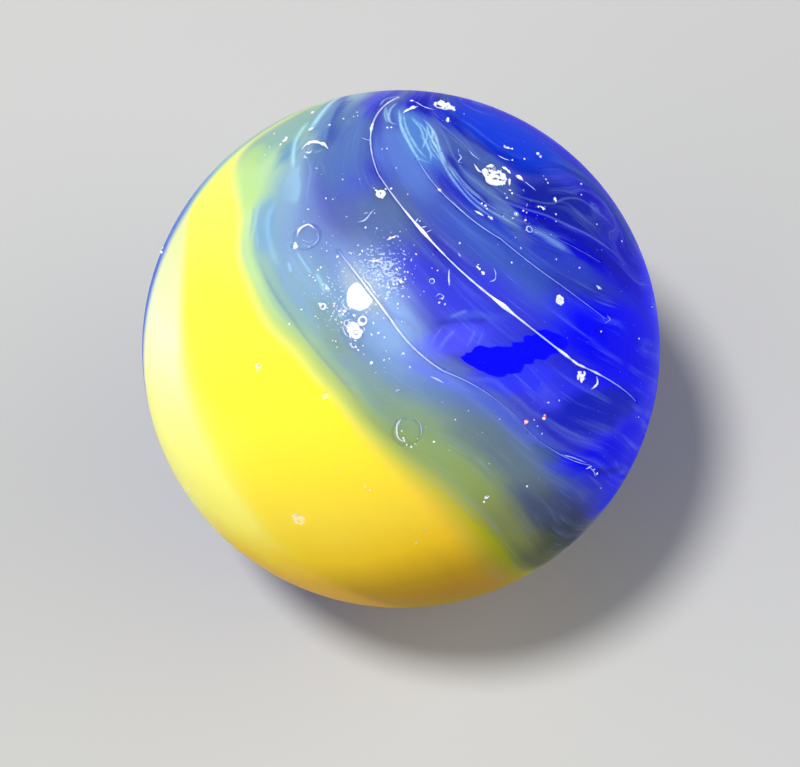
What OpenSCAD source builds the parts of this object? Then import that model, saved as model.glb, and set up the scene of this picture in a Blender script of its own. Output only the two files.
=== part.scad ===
// Glass marble: one fused ball, rolled hot from a gob of cobalt-blue glass that carried a patch of yellow.
// Fine fold creases run from the cut-off at the back of the top, and play has left small marks on the skin.

/* [Ball] */
// Diameter of the ball
ball_d = 16; // [12:0.5:42]

/* [Fold creases] */
// Width of a crease where two folds of glass met
crease_w = 0.1; // [0.06:0.01:0.16]
// Width of the knots where a crease changes its curve
knot_w = 0.18; // [0.12:0.01:0.3]

/* [Moons] */
// Diameter of the ring crack that a hard knock leaves
moon_d = 0.8; // [0.4:0.05:1.2]
// Width of the ring crack
moon_w = 0.08; // [0.05:0.01:0.14]

/* [Bruises] */
// Width of a crushed spot
bruise_w = 0.8; // [0.5:0.05:1.2]
// Depth of a crushed spot
bruise_depth = 0.06; // [0.04:0.01:0.12]

/* [Pits] */
// Width of a bubble that opened at the skin
pit_w = 0.26; // [0.16:0.02:0.4]
// Depth of an open bubble
pit_depth = 0.1; // [0.05:0.01:0.16]

/* [Hidden] */
$fn = 96;

ball_r = ball_d / 2;

// The show face carries the marks. Its axis leans from straight up towards -Y by this many degrees.
face_tilt = 25;

// A place on the skin is [lean, clock]: degrees away from the show face's axis, and degrees round it,
// where clock 0 points along +X and clock 90 towards the back.
// Each crease is an odd number of places, taken as arcs of three that share their ends.
CREASES = [
    [[70.5, 90.5], [58, 96.5], [39, 97.5], [31, 91], [22, 70], [20, 45],
     [21.5, 29], [24.5, 16.5], [39, -5], [51, -9], [62.5, -12.5]],
    [[43, 85], [36.5, 78.5], [32.5, 68], [31, 54], [31.5, 48],
     [34.5, 29], [37.5, 22], [43, 13.5], [48, 8.5]],
    [[24, 122.5], [15, 119.5], [6, 108.5], [5, -20.5], [9.5, -27.5],
     [24.5, -29], [32.5, -33], [43.5, -33.5], [54, -31.5]],
    [[46.5, 79], [38, 67.5], [37, 53], [42, 37.5], [52, 23.5]],
];

// Marks of wear are [lean, clock, share of the full width].
MOONS = [[17, -86, 1], [53, 112.5, 0.8], [31, 130, 1]];
BRUISES = [
    [45, 61, 1], [66.5, 80, 0.9], [10, 157.5, 0.75], [40.5, -8.5, 0.5],
    [36, 17, 0.45], [33.5, 97.5, 0.4], [45.5, -121, 0.6],
];
PITS = [
    [30.5, -173, 1], [18, -148.5, 0.9], [31.5, 136, 1], [73.5, 157.5, 1],
    [37.5, -60, 0.7], [60, 108, 0.8], [23, 43, 0.6], [51, 44, 0.7],
];

// The blue glass is centred on this place, and the yellow patch begins this many degrees away from it.
BLUE_SIDE = [68.5, 41];
blue_spread = 85;

// The direction of a place, in the show face's own frame.
function direction(place) =
    [sin(place[0]) * cos(place[1]), sin(place[0]) * sin(place[1]), cos(place[0])];

function unit(v) = v / norm(v);

// Turns its children's +Z to point out of the glass at a place.
module facing(place) {
    rotate([0, place[0], place[1]]) children();
}

// Stands its children on the skin at a place.
module on_skin(place) {
    facing(place) translate([0, 0, ball_r]) children();
}

// A half-round groove along the one circle on the ball that passes through three directions.
module arc_groove(from, through, to, width) {
    axis = unit(cross(through - from, to - through));
    offset = axis * from;
    reach = sqrt(1 - offset * offset);
    x_axis = (from - axis * offset) / reach;
    y_axis = cross(axis, x_axis);
    turn = atan2(to * y_axis, to * x_axis);
    multmatrix([
        [x_axis[0], y_axis[0], axis[0], axis[0] * offset * ball_r],
        [x_axis[1], y_axis[1], axis[1], axis[1] * offset * ball_r],
        [x_axis[2], y_axis[2], axis[2], axis[2] * offset * ball_r],
        [0, 0, 0, 1],
    ])
        rotate_extrude(angle = turn < 0 ? turn + 360 : turn)
            translate([reach * ball_r, 0])
                circle(d = width, $fn = 24);
}

// A crease: arcs of three places, with a knot at each end that two arcs share.
module crease(places) {
    for (i = [0:2:len(places) - 3])
        arc_groove(direction(places[i]), direction(places[i + 1]), direction(places[i + 2]), crease_w);
    for (i = [0:2:len(places) - 1])
        on_skin(places[i]) sphere(d = knot_w, $fn = 24);
}

// A shallow dish with a round floor.
module dish(place, width, depth) {
    dish_r = (width * width / 4 + depth * depth) / (2 * depth);
    on_skin(place)
        translate([0, 0, dish_r - depth])
            sphere(r = dish_r);
}

// A ring crack.
module moon(place, width) {
    on_skin(place)
        translate([0, 0, sqrt(ball_r * ball_r - width * width / 4) - ball_r])
            rotate_extrude()
                translate([width / 2, 0])
                    circle(d = moon_w, $fn = 24);
}

// Everything that creasing and knocks took from the skin. Broken and folded glass looks white.
module marks() {
    color("whitesmoke") {
        for (places = CREASES) crease(places);
        for (m = MOONS) moon(m, moon_d * m[2]);
        for (b = BRUISES) dish(b, bruise_w * b[2], bruise_depth * b[2]);
        for (p = PITS) dish(p, pit_w * p[2], pit_depth * p[2]);
    }
}

// The plain ball. Its own poles lie at the sides, clear of every mark.
module ball() {
    rotate([0, 90, 0]) sphere(r = ball_r);
}

// The half-space on the blue side of the seam.
module blue_zone() {
    rotate([face_tilt, 0, 0])
        facing(BLUE_SIDE)
            translate([-ball_d, -ball_d, ball_r * cos(blue_spread)])
                cube(2 * ball_d);
}

// The two glasses, fused into one ball, with the marks of its making and of play.
module marble() {
    difference() {
        union() {
            color("mediumblue") intersection() { ball(); blue_zone(); }
            color("gold") difference() { ball(); blue_zone(); }
        }
        rotate([face_tilt, 0, 0]) marks();
    }
}

marble();
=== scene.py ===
"""Dresses the glass marble: the swirl of its two glasses, the creases where they folded, and its wear."""

import math
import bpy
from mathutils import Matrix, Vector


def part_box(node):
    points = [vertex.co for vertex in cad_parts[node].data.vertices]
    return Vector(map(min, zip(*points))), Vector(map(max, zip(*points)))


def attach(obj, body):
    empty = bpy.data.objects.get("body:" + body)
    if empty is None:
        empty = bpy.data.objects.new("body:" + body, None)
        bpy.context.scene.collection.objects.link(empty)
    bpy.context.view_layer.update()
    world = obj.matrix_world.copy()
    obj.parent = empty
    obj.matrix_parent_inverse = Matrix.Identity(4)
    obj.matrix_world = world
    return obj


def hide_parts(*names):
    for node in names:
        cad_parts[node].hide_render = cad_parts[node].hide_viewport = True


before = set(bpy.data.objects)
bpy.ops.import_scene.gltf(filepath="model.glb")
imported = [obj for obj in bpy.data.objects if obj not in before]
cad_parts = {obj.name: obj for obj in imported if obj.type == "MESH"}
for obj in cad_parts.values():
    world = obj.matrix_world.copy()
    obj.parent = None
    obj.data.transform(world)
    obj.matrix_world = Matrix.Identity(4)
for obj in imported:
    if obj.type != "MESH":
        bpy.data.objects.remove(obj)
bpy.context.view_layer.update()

from types import SimpleNamespace

import bmesh
import bpy
import numpy as np
from mathutils import Matrix, Vector
from mathutils.kdtree import KDTree

# ---- the ball and the places on its skin

MM = 0.001
LOW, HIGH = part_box("marble")
BALL_R = (HIGH.x - LOW.x) / 2 / MM
SEED = 7

# The show face's axis leans from straight up towards -Y by this many degrees. A place on the skin is
# (lean, clock): degrees away from that axis, and degrees round it, where 0 is +X and 90 the back.
FACE_TILT = 25
FACE_AXIS = Vector((0, -math.sin(math.radians(FACE_TILT)), math.cos(math.radians(FACE_TILT))))
FACE_RIGHT = Vector((1, 0, 0))
FACE_UP = FACE_AXIS.cross(FACE_RIGHT)

# The swirl's pole, where the shears cut the hot gob off and every fold starts.
SWIRL_POLE = (68, 89)

# Each crease is an odd number of places, taken as arcs of three that share their ends.
CREASES = [
    [(70.5, 90.5), (58, 96.5), (39, 97.5), (31, 91), (22, 70), (20, 45),
     (21.5, 29), (24.5, 16.5), (39, -5), (51, -9), (62.5, -12.5)],
    [(43, 85), (36.5, 78.5), (32.5, 68), (31, 54), (31.5, 48),
     (34.5, 29), (37.5, 22), (43, 13.5), (48, 8.5)],
    [(24, 122.5), (15, 119.5), (6, 108.5), (5, -20.5), (9.5, -27.5),
     (24.5, -29), (32.5, -33), (43.5, -33.5), (54, -31.5)],
    [(46.5, 79), (38, 67.5), (37, 53), (42, 37.5), (52, 23.5)],
]
CREASE_W = 0.1
KNOT_W = 0.18
# How thick the white crust in each crease is: share of the way along, and mm across.
CREASE_CRUSTS = [
    [(0, 0.045), (0.03, 0.06), (0.08, 0.045), (0.13, 0.049), (0.15, 0.106), (0.165, 0.045), (0.22, 0.045),
     (0.28, 0.03), (0.33, 0.038), (0.37, 0.049), (0.4, 0.068), (0.425, 0.123), (0.45, 0.056),
     (0.49, 0.045), (0.55, 0.053), (0.59, 0.064), (0.615, 0.158), (0.64, 0.064), (0.67, 0.045),
     (0.74, 0.045), (0.76, 0.106), (0.775, 0.053), (0.8, 0.088), (0.82, 0.038), (0.845, 0.068),
     (0.865, 0.038), (0.93, 0.03), (1, 0.015)],
    [(0, 0.012), (0.05, 0.022), (0.16, 0.024), (0.17, 0.1), (0.18, 0.024), (0.3, 0.028), (0.5, 0.025),
     (0.7, 0.02), (0.85, 0.015), (1, 0.008)],
    [(0, 0.02), (0.05, 0.045), (0.12, 0.065), (0.2, 0.06), (0.3, 0.05), (0.38, 0.04), (0.5, 0.022),
     (0.6, 0.01), (0.77, 0.006), (0.86, 0.02), (0.93, 0.024), (1, 0.01)],
    [(0, 0.006), (0.2, 0.01), (0.37, 0.01), (0.5, 0.006), (1, 0.006)],
]

# Marks of wear are (lean, clock, share of the full width). Their sizes are in mm.
MOONS = [(17, -86, 1), (53, 112.5, 0.8), (31, 130, 1)]
MOON_D = 0.8
MOON_W = 0.08
BRUISES = [
    (45, 61, 1), (66.5, 80, 0.9), (10, 157.5, 0.75), (40.5, -8.5, 0.5),
    (36, 17, 0.45), (33.5, 97.5, 0.4), (45.5, -121, 0.6),
]
BRUISE_W = 0.8
BRUISE_DEPTH = 0.06
PITS = [
    (30.5, -173, 1), (18, -148.5, 0.9), (31.5, 136, 1), (73.5, 157.5, 1),
    (37.5, -60, 0.7), (60, 108, 0.8), (23, 43, 0.6), (51, 44, 0.7),
]
PIT_W = 0.26
PIT_DEPTH = 0.1

# Wisps and folds of colour: places along each line, how far its colour fades to the left and to the
# right of it in mm, and its strength.
CYAN_WISPS = [
    ([(83.5, 103), (74.5, 106), (68, 108.5), (63, 111), (60, 112.5)], 0.09, 0.09, 0.75),
    ([(65.5, 112), (62, 114.5), (58, 117), (53.5, 119), (48.5, 121)], 0.05, 0.08, 0.65),
    ([(49.5, 118.5), (46.5, 120.5), (43, 122), (40.5, 124.5), (39.5, 127)], 0.04, 0.4, 0.24),
    ([(44, 130), (42, 134.5), (39, 138.5), (35, 142.5), (31, 146.5)], 0.08, 0.12, 0.22),
    ([(47.5, 131.5), (45.5, 136), (42.5, 140), (38, 144.5)], 0.05, 0.08, 0.16),
    ([(30, 142.5), (28, 145)], 0.04, 0.04, 0.5),
    ([(30, 137), (27, 138.5), (24, 140)], 0.03, 0.03, 0.5),
    ([(23.5, 138), (21, 140.5), (19, 143.5)], 0.05, 0.05, 0.6),
    ([(60, 90), (55, 90), (50, 88.5), (46.5, 87), (43, 85)], 0.025, 0.025, 0.7),
    ([(57.5, 89.5), (51.5, 88), (47, 86), (43, 82)], 0.022, 0.022, 0.6),
    ([(57.5, 87.5), (53.5, 85), (49, 83.5), (45.5, 81.5), (43.5, 79)], 0.025, 0.022, 0.7),
    ([(57.5, 84.5), (53.5, 82), (49.5, 81.5), (46.5, 79.5), (43, 77), (41.5, 74.5)], 0.03, 0.025, 0.8),
    ([(55.5, 83), (52, 81), (48, 79.5), (44.5, 77.5)], 0.025, 0.022, 0.8),
    ([(43.5, 78), (40.5, 75), (37.5, 70.5), (35.5, 65.5), (34.5, 60), (34.5, 54.5)], 0.028, 0.028, 0.45),
    ([(43.5, 76), (40.5, 73), (37.5, 68), (36, 63), (35.5, 57.5), (36, 51.5),
      (37, 45.5)], 0.03, 0.03, 0.45),
    ([(43, 77), (39.5, 74), (37, 69.5), (35, 64)], 0.03, 0.03, 0.4),
    ([(42.5, 74.5), (40, 71), (38, 66), (37, 60.5)], 0.03, 0.03, 0.35),
    ([(38.5, 43), (40.5, 39), (41.5, 35.5), (43.5, 31)], 0.09, 0.09, 0.22),
    ([(66, 91), (62, 92.5), (58, 93), (55.5, 92.5)], 0.025, 0.025, 0.7),
    ([(64, 93.5), (59.5, 94), (55.5, 93.5)], 0.022, 0.022, 0.6),
    ([(62, 90.5), (53.5, 90), (48, 88), (43.5, 85), (42, 81)], 0.022, 0.022, 0.8),
    ([(60, 89.5), (52.5, 88.5), (48.5, 86.5), (46, 85)], 0.02, 0.02, 0.6),
    ([(62.5, 93.5), (56.5, 93), (54.5, 91)], 0.022, 0.022, 0.7),
    ([(64.5, 95), (69, 93.5), (71.5, 90.5)], 0.02, 0.02, 0.7),
    ([(56.5, 86), (53.5, 84), (50.5, 83), (46, 84)], 0.02, 0.02, 0.7),
    ([(55.5, 83.5), (51.5, 82.5), (47.5, 80), (43, 76.5)], 0.022, 0.022, 0.9),
    ([(55, 82.5), (51, 81), (47, 79), (42.5, 76)], 0.02, 0.02, 0.8),
    ([(50.5, 82.5), (47.5, 81.5), (44, 78.5), (39.5, 73.5), (35.5, 65.5), (34.5, 56.5)], 0.022, 0.022, 0.6),
    ([(51, 85), (48.5, 83), (45.5, 81.5), (42.5, 81)], 0.02, 0.02, 0.6),
    ([(58.5, 87.5), (54.5, 85.5), (50.5, 84), (47, 83.5)], 0.02, 0.02, 0.5),
]
PALE_WISPS = [
    ([(22, 121), (18, 121.5), (14, 117), (10, 112), (7, 104), (5, 60), (4.5, 0)], 0.07, 0.07, 0.6),
    ([(50, 116), (45.5, 117), (41.5, 120), (37.5, 123)], 0.04, 0.04, 0.6),
    ([(47.5, 113), (42.5, 113.5)], 0.03, 0.03, 0.3),
    ([(56.5, 81), (51, 78), (46, 75), (42, 70), (40.5, 65), (39.5, 59.5), (40, 54), (42, 48), (45, 42.5),
      (48, 37), (52, 32), (55, 28.5), (58.5, 24.5), (61, 20.5)], 0.03, 0.03, 0.4),
    ([(44.5, 56.5), (43.5, 53), (45.5, 48), (49, 44), (54, 42.5), (58.5, 40), (61, 36.5), (63.5, 32.5),
      (65, 30)], 0.03, 0.03, 0.3),
    ([(57, 81), (54, 77.5), (51, 73.5), (49, 70.5), (47, 67)], 0.03, 0.03, 0.35),
    ([(53, 78), (50.5, 74.5), (48.5, 71)], 0.03, 0.03, 0.25),
    ([(11.5, -30.5), (15.5, -22.5), (20, -18.5), (23.5, -21.5), (27, -23.5), (30.5, -25.5), (34.5, -25.5),
      (39.5, -26), (45.5, -26), (53.5, -25.5)], 0.05, 0.12, 0.22),
    ([(13, -37.5), (16.5, -36), (20.5, -36.5), (25, -37), (29, -37.5), (33.5, -38),
      (39, -38)], 0.12, 0.05, 0.22),
    ([(22, -28), (26.5, -30.5), (30.5, -32.5), (34.5, -33.5), (38.5, -34)], 0.03, 0.03, 0.35),
    ([(11.5, 33), (13.5, 31.5), (15.5, 30)], 0.04, 0.04, 0.5),
    ([(11.5, 19.5), (9, 11.5), (7.5, -1.5)], 0.05, 0.05, 0.4),
    ([(15.5, 14.5), (13.5, 3.5)], 0.04, 0.04, 0.35),
    ([(17, 12), (15.5, 3.5)], 0.04, 0.04, 0.25),
    ([(6, 8), (7.5, 21.5), (9.5, 28)], 0.03, 0.03, 0.35),
    ([(13.5, -175), (10, -167.5)], 0.03, 0.03, 0.5),
    ([(12.5, -168), (9, -151.5)], 0.03, 0.03, 0.6),
    ([(13, -151.5), (12, -143)], 0.03, 0.03, 0.5),
    ([(6, -155), (3, -172.5)], 0.03, 0.03, 0.5),
    ([(17.5, 115), (15.5, 110.5), (14, 105)], 0.03, 0.03, 0.5),
]
NAVY_FOLDS = [
    ([(47, 77.5), (42.5, 73.5), (39, 68), (37.5, 62), (37.5, 56)], 0.14, 0.12, 0.8),
    ([(39.5, 48.5), (43.5, 41.5), (47, 36), (51.5, 30), (55.5, 24), (62, 15.5)], 0.06, 0.4, 0.85),
    ([(63, 79), (57.5, 76.5), (54, 73), (52, 68), (51.5, 62.5), (53, 56)], 0.25, 0.1, 0.6),
    ([(75.5, 102), (65, 105.5), (57, 108), (50, 110.5)], 0.35, 0.06, 0.5),
    ([(35, 50), (36.5, 42.5), (38.5, 35.5), (42, 29)], 0.06, 0.06, 0.4),
    ([(36, 148.5), (31.5, 153.5), (27, 159), (23, 165), (19.5, 173.5), (16, -173.5), (13.5, -153),
      (13.5, -125.5)], 0.08, 0.04, 0.22),
    ([(8, 37.5), (12, 27.5), (19, 18)], 0.1, 0.1, 0.4),
    ([(55.5, -32.5), (62.5, -30.5), (71.5, -28)], 0.12, 0.12, 0.6),
]
LIME_FOLDS = [
    ([(69, 125), (64, 128), (58, 131), (52, 133.5), (46.5, 137.5)], 0.4, 0.5, 0.55),
]
FOLDS = {"cyan": CYAN_WISPS, "pale": PALE_WISPS, "navy": NAVY_FOLDS, "lime": LIME_FOLDS}

# White scratches and strokes of crushed glass: places along each line, and its width in mm.
SCRATCHES = [
    ([(54, 116.5), (55, 115), (55, 113.5), (54, 112), (52, 110.5), (50, 110)], 0.11),
    ([(52.5, 116), (51.5, 115), (52, 114)], 0.06),
    ([(51, 117), (50, 116)], 0.06),
    ([(32.5, 133), (33.5, 130.5), (33.5, 128.5), (33, 126.5), (31, 125.5)], 0.07),
    ([(30.5, 133.5), (29, 132), (28.5, 129.5), (29, 126.5), (30.5, 126)], 0.025),
    ([(31, 132), (29.5, 130.5), (29.5, 128.5)], 0.02),
    ([(14, -90), (15.5, -93), (17.5, -92.5), (18.5, -90), (19, -86.5)], 0.06),
    ([(14, -83.5), (14.5, -78), (16, -75.5), (18, -77), (18.5, -79.5)], 0.025),
    # The rim of the big bruise.
    ([(45.5, 65), (44, 64.5), (42.5, 62.5), (42.5, 60)], 0.2),
    ([(46, 65), (47, 64), (47.5, 63)], 0.1),
    ([(48.5, 61), (48.5, 59.5), (48, 58)], 0.12),
    ([(46.5, 57.5), (45.5, 57), (44.5, 56.5)], 0.1),
    # Strokes round it.
    ([(48.5, 74), (47, 73.5), (46, 72.5), (44.5, 73), (44.5, 71.5)], 0.035),
    ([(49, 71), (48, 69.5), (47.5, 67.5)], 0.035),
    ([(45.5, 68.5), (44, 66.5), (44, 65)], 0.05),
    ([(48.5, 56.5), (48.5, 54)], 0.12),
    ([(48.5, 54), (48.5, 51.5), (48.5, 49.5)], 0.03),
    ([(55.5, 63), (56.5, 61)], 0.06),
    ([(51.5, 63.5), (51.5, 61.5), (52, 60)], 0.035),
    ([(45.5, 46), (46, 44)], 0.06),
    ([(33.5, 62.5), (33.5, 60), (33.5, 58)], 0.06),
    ([(34, 56.5), (34, 54.5)], 0.07),
    ([(28, 109), (28, 105.5), (29.5, 102), (30, 100.5)], 0.04),
    ([(29.5, 105.5), (29.5, 103.5)], 0.04),
    ([(26.5, 83.5), (27.5, 82.5)], 0.05),
    ([(25.5, 80.5), (26, 78)], 0.04),
    ([(24.5, 78), (25.5, 75.5)], 0.04),
    ([(60, 89.5), (62, 88), (64, 86)], 0.12),
    ([(67.5, 88), (67.5, 87)], 0.08),
    ([(67.5, 87), (64, 84.5), (63, 82)], 0.045),
    ([(51, 100.5), (50, 99.5), (49.5, 98)], 0.03),
    ([(22.5, 97.5), (23, 94), (23.5, 91.5)], 0.06),
    ([(19, 109.5), (18.5, 105.5), (18, 102.5)], 0.06),
    ([(19.5, 89.5), (19, 86.5)], 0.04),
    ([(23, 59.5), (22.5, 57)], 0.05),
    ([(23, 48), (23, 45.5)], 0.07),
    ([(25.5, 41), (25, 38.5), (24, 36.5), (22.5, 37.5)], 0.03),
    ([(19, 59), (17.5, 56.5), (16, 52.5)], 0.04),
    ([(47.5, 18), (49, 16.5)], 0.06),
    ([(48.5, 9.5), (49.5, 8), (47, 7)], 0.02),
    ([(45, -8), (45.5, -10), (44, -12)], 0.06),
    ([(53.5, -32), (56.5, -32.5), (58.5, -33.5)], 0.03),
    ([(53, -33), (54.5, -31.5)], 0.045),
    ([(43, -33.5), (46, -32.5), (48.5, -32), (52, -31.5)], 0.035),
    ([(8, -43), (9.5, -40), (11, -38.5)], 0.04),
    ([(37.5, -61), (37.5, -59)], 0.05),
    ([(8.5, -98), (8, -91.5)], 0.04),
    # The lace round the highlight: strokes that also stand as painted glints of fine scratches catching the
    # key lamp.
    ([(12.5, 154), (12, 150.5), (11, 149)], 0.035),
    ([(12.5, 159), (11.5, 165), (10.5, 167)], 0.04),
    ([(15, 143), (13.5, 143.5), (12.5, 141)], 0.045),
    ([(14.5, 152.5), (14, 150), (13.5, 147)], 0.035),
    ([(14.5, 143.5), (14.5, 147), (13, 150)], 0.03),
    ([(10.5, 173), (9.5, 178.5), (9, 176), (9.5, 171)], 0.04),
    ([(17.5, 119.5), (17.5, 114), (16.5, 111.5)], 0.03),
    ([(19, 115.5), (18, 113), (17.5, 110), (17.5, 106.5)], 0.03),
    ([(19.5, 111.5), (18.5, 106.5), (19, 101)], 0.045),
    ([(16, 112), (15.5, 110), (15, 108.5)], 0.03),
    ([(18.5, 141), (19.5, 140), (20.5, 139.5)], 0.05),
    ([(12.5, 56.5), (13.5, 55), (13.5, 50.5), (12.5, 53)], 0.04),
    # Chips near the rim.
    ([(61, 119.5), (61.5, 118.5)], 0.14),
    ([(70.5, 111), (71, 110)], 0.1),
    ([(60.5, 113), (61, 111.5)], 0.1),
]

# How far apart the points of a crease, of a fold or scratch, and of the search for wisps lie, in mm.
CREASE_STEP = 0.02
FOLD_STEP = 0.03
WISP_STEP = 0.05


def direction(lean, clock):
    """The direction of a place on the skin."""
    lean, clock = math.radians(lean), math.radians(clock)
    side = FACE_RIGHT * math.cos(clock) + FACE_UP * math.sin(clock)
    return FACE_AXIS * math.cos(lean) + side * math.sin(lean)


def arc(start, through, end, step):
    """Directions along the one circle on the ball through three places, about step mm apart."""
    a, b, c = direction(*start), direction(*through), direction(*end)
    axis = (b - a).cross(c - b).normalized()
    middle = axis * axis.dot(a)
    x_axis = a - middle
    y_axis = axis.cross(x_axis)
    turn = math.atan2((c - middle).dot(y_axis), (c - middle).dot(x_axis)) % math.tau
    count = max(2, round(turn * x_axis.length * BALL_R / step))
    turns = [turn * i / count for i in range(count + 1)]
    return [middle + x_axis * math.cos(t) + y_axis * math.sin(t) for t in turns]


def crease_line(places):
    """Directions along a whole crease."""
    line = []
    for start, through, end in zip(places[0::2], places[1::2], places[2::2]):
        line += arc(start, through, end, CREASE_STEP)[bool(line):]
    return line


def smooth_line(places, step):
    """Directions along a smooth curve through places, about step mm apart."""
    knots = [direction(*place) for place in places]
    knots = [2 * knots[0] - knots[1]] + knots + [2 * knots[-1] - knots[-2]]
    line = []
    for before, a, b, after in zip(knots, knots[1:], knots[2:], knots[3:]):
        count = max(1, round((b - a).length * BALL_R / step))
        for i in range(count):
            t = i / count
            point = 2 * a + (b - before) * t + (2 * before - 5 * a + 4 * b - after) * t ** 2
            point += (3 * a - before - 3 * b + after) * t ** 3
            line.append(point.normalized())
    return line + [knots[-2]]


# ---- how the glass flowed

# Lines that the flow follows, as the drift across the flow in mm, and places along the line.
# Drift 0 is the seam of the yellow patch, and the creases lie at 3.2, 5.7, 7.3 and 8.3.
FLOW_LINES = [
    (-6.0, [(84, 142), (76, 155), (72, 167), (70, 180), (69, -171), (66, -159), (67, -146), (70, -134),
            (75, -124), (80, -115)]),
    (-3.6, [(78, 140), (71.5, 145.5), (64.5, 151), (58, 158.5), (54, 167.5), (51.5, 177.5), (50.5, -171.5),
            (49, -163), (48.5, -154), (48.5, -144.5), (51, -133.5), (55, -124.5)]),
    (0.0, [(72, 130), (60, 135.5), (46, 142.5), (36.5, 154.5), (31.5, 162), (25, 171), (19, -178),
           (14.5, -150), (17, -108), (21, -91), (33, -70), (44, -65), (55, -63), (72, -61)]),
    (1.4, [(83, 103), (68, 109), (59, 117), (50, 131), (42, 143), (37, 149), (31, 155), (25, 165),
           (14.5, -170), (12, -111), (16, -76), (25, -56), (39, -52), (60, -52)]),
    (3.2, [(37, 122), (30, 123), (23.5, 123), (18.5, 123.5), (13.5, 122), (9, 118), (3, 94), (6.5, -29),
           (12, -28), (18.5, -30), (27, -33), (34, -35), (44, -35), (55, -33), (70, -34)]),
    (5.7, [(75, 90.5), (66, 94), (59.5, 96), (54.5, 97.5), (49.5, 98.5), (40, 98), (31.5, 93.5), (23, 75),
           (20, 45), (24.5, 16), (31.5, 2.5), (39.5, -6), (46, -8.5), (62.5, -12.5), (78, -14)]),
    (7.3, [(62, 92), (52, 88), (41.5, 82.5), (35, 74), (32, 63), (31.5, 48), (33, 34), (37.5, 22),
           (46.5, 10.5), (60, 3), (75, 0)]),
    (8.3, [(62, 88), (52, 82.5), (46.5, 79), (40.5, 73), (37, 64), (36.5, 54), (39, 43), (45, 33.5),
           (52, 23.5), (62, 15), (76, 10)]),
    (8.9, [(52, 78.5), (44, 71), (40.5, 61), (39.5, 50.5), (42, 40), (48, 32.5), (53.5, 26.5), (60, 18.5)]),
    (9.4, [(45, 69.5), (41.5, 61.5), (41, 54), (43, 47.5), (48, 44), (54.5, 41), (61, 37.5), (65.5, 31.5)]),
    (10.6, [(62, 81), (53, 72), (49, 62), (51, 50), (57, 39), (61, 28.5), (63.5, 19)]),
    (12.6, [(75, 78), (72, 65), (71, 50), (75, 38), (80, 28)]),
]
# How far the drift may miss a line, so that it stays smooth between lines.
SMOOTHING = 0.001


def drift_at(directions):
    """Drift at each direction: a cubic spline over the ball, held by the flow lines."""
    knots = np.array([direction(*place) for _, line in FLOW_LINES for place in line])
    values = [drift for drift, line in FLOW_LINES for _ in line]
    count = len(knots)
    system = np.zeros((count + 4, count + 4))
    system[:count, :count] = np.linalg.norm(knots[:, None] - knots[None], axis=2) ** 3
    system[:count, :count] += SMOOTHING * np.eye(count)
    system[:count, count] = system[count, :count] = 1
    system[:count, count + 1:] = knots
    system[count + 1:, :count] = knots.T
    weights = np.linalg.solve(system, np.append(values, np.zeros(4)))
    pull = np.linalg.norm(directions[:, None] - knots[None], axis=2) ** 3
    return pull @ weights[:count] + weights[count] + directions @ weights[count + 1:]


# ---- small helpers

def linear(code):
    """A linear colour from an sRGB hex code."""
    channels = [int(code[i:i + 2], 16) / 255 for i in (1, 3, 5)]
    curve = [c / 12.92 if c <= 0.04045 else ((c + 0.055) / 1.055) ** 2.4 for c in channels]
    return (*curve, 1.0)


def socket(sockets, key):
    """The socket in use with that name, or at that place in the list."""
    if isinstance(key, int):
        return sockets[key]
    return next(s for s in sockets if s.enabled and s.name == key)


def add(tree, kind, inputs=(), out=None, **settings):
    """Adds a node with its settings, and its inputs in order or by name.

    An input is a value, a hex code, or the socket that feeds it. Gives back the output with the name in
    out, or the first in use.
    """
    node = tree.nodes.new(kind)
    for name, value in settings.items():
        setattr(node, name, value)
    for key, value in inputs.items() if isinstance(inputs, dict) else enumerate(inputs):
        if isinstance(value, bpy.types.NodeSocket):
            tree.links.new(value, socket(node.inputs, key))
        elif isinstance(value, str) and value[0] == "#":
            socket(node.inputs, key).default_value = linear(value)
        else:
            socket(node.inputs, key).default_value = value
    return socket(node.outputs, out) if out else next((s for s in node.outputs if s.enabled), node)


def new_material(name):
    """A material with no nodes yet, and its tree."""
    material = bpy.data.materials.new(name)
    material.use_nodes = True
    material.node_tree.nodes.clear()
    return material, material.node_tree


def finish_material(tree, looks):
    """Ends a material's tree with a skin of those looks."""
    skin = add(tree, "ShaderNodeBsdfPrincipled", looks)
    add(tree, "ShaderNodeOutputMaterial", [skin])


def mesh_object(name, points, edges=(), faces=()):
    """A new mesh object at the origin, from points in metres."""
    mesh = bpy.data.meshes.new(name)
    mesh.from_pydata([tuple(p) for p in points], edges, faces)
    obj = bpy.data.objects.new(name, mesh)
    bpy.context.scene.collection.objects.link(obj)
    return obj


def object_of(name, mesh):
    """A new object at the origin from an edited mesh, which it frees."""
    obj = mesh_object(name, [])
    mesh.to_mesh(obj.data)
    mesh.free()
    return obj


def set_attribute(obj, name, values):
    """Stores a number on each vertex: its own, or the same on all."""
    attribute = obj.data.attributes.new(name, "FLOAT", "POINT")
    attribute.data.foreach_set("value", np.full(len(obj.data.vertices), values, np.float32))


def dress(piece):
    """Makes a piece ride on the ball."""
    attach(piece, "root")


# ---- the ball

# Dust gathers at these places: place, how far it spreads in mm, and grains per mm2 at its middle. The heaps
# round the highlight are also painted glints: they stand for fine scratches catching the key lamp.
HEAPS_OF_DUST_AND_GLINTS = [
    ((18, 104), 0.75, 26), ((14, 152), 0.5, 26), ((14, 99), 0.5, 24), ((21, 137), 0.6, 14),
    ((15, 122), 1.3, 13), ((44, 52), 0.7, 8), ((39, 46), 0.5, 9), ((38, 100), 0.7, 3),
    ((33, 128), 0.5, 7),
]

# How finely the ball is split everywhere.
START_LEVEL = 6
# How near to a mark and to a wisp, in mm, an edge has to be for each round of splitting.
SPLIT_WITHIN = [(0.5, 0.35), (0.28, 0.2), (0.15, 0.1), (0.06, 0)]

# How far a groove's eased lips reach from its line, as a share of its width.
LIP_REACH = 0.625
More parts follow.
